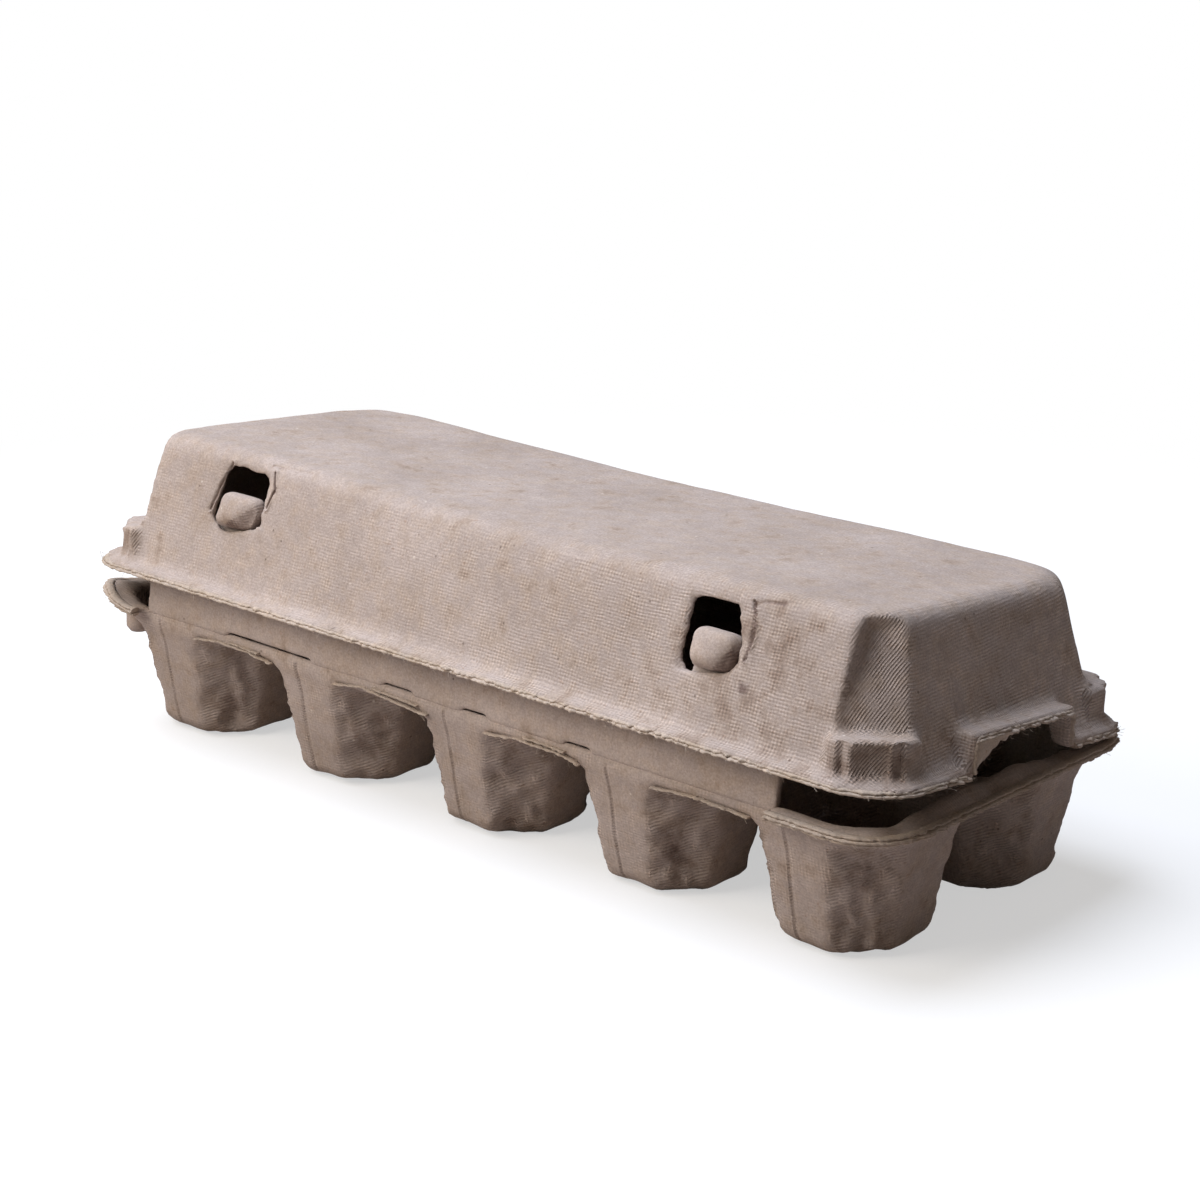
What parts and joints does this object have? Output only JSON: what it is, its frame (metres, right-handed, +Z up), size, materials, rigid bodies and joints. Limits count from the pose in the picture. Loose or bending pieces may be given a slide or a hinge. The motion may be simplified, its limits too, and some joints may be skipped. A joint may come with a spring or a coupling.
{
  "type": "pulp egg carton",
  "caption": "Moulded pulp egg carton: tapered octagonal cells in two rows, hinged lid with sunk corners, front locking flap with latch buttons.",
  "frame": {"origin": "on the ground under the middle of the footprint", "axes": "+X along the carton, -Y towards the locking flap and latch windows, +Y towards the hinge, +Z up"},
  "size_m": [0.24, 0.0924, 0.0719],
  "materials": {
    "pulp": "matte"
  },
  "bodies": {
    "base": {"tray": "pulp", "locking_flap": "pulp"},
    "lid": {"lid": "pulp"}
  },
  "joints": [
    {"name": "lid_hinge", "type": "hinge", "parent": "base", "child": "lid", "pos_m": [0, 0.0457, 0.0319], "axis": [-1, 0, 0], "range_deg": [0, 140], "deforming": ["locking_flap"]}
  ]
}
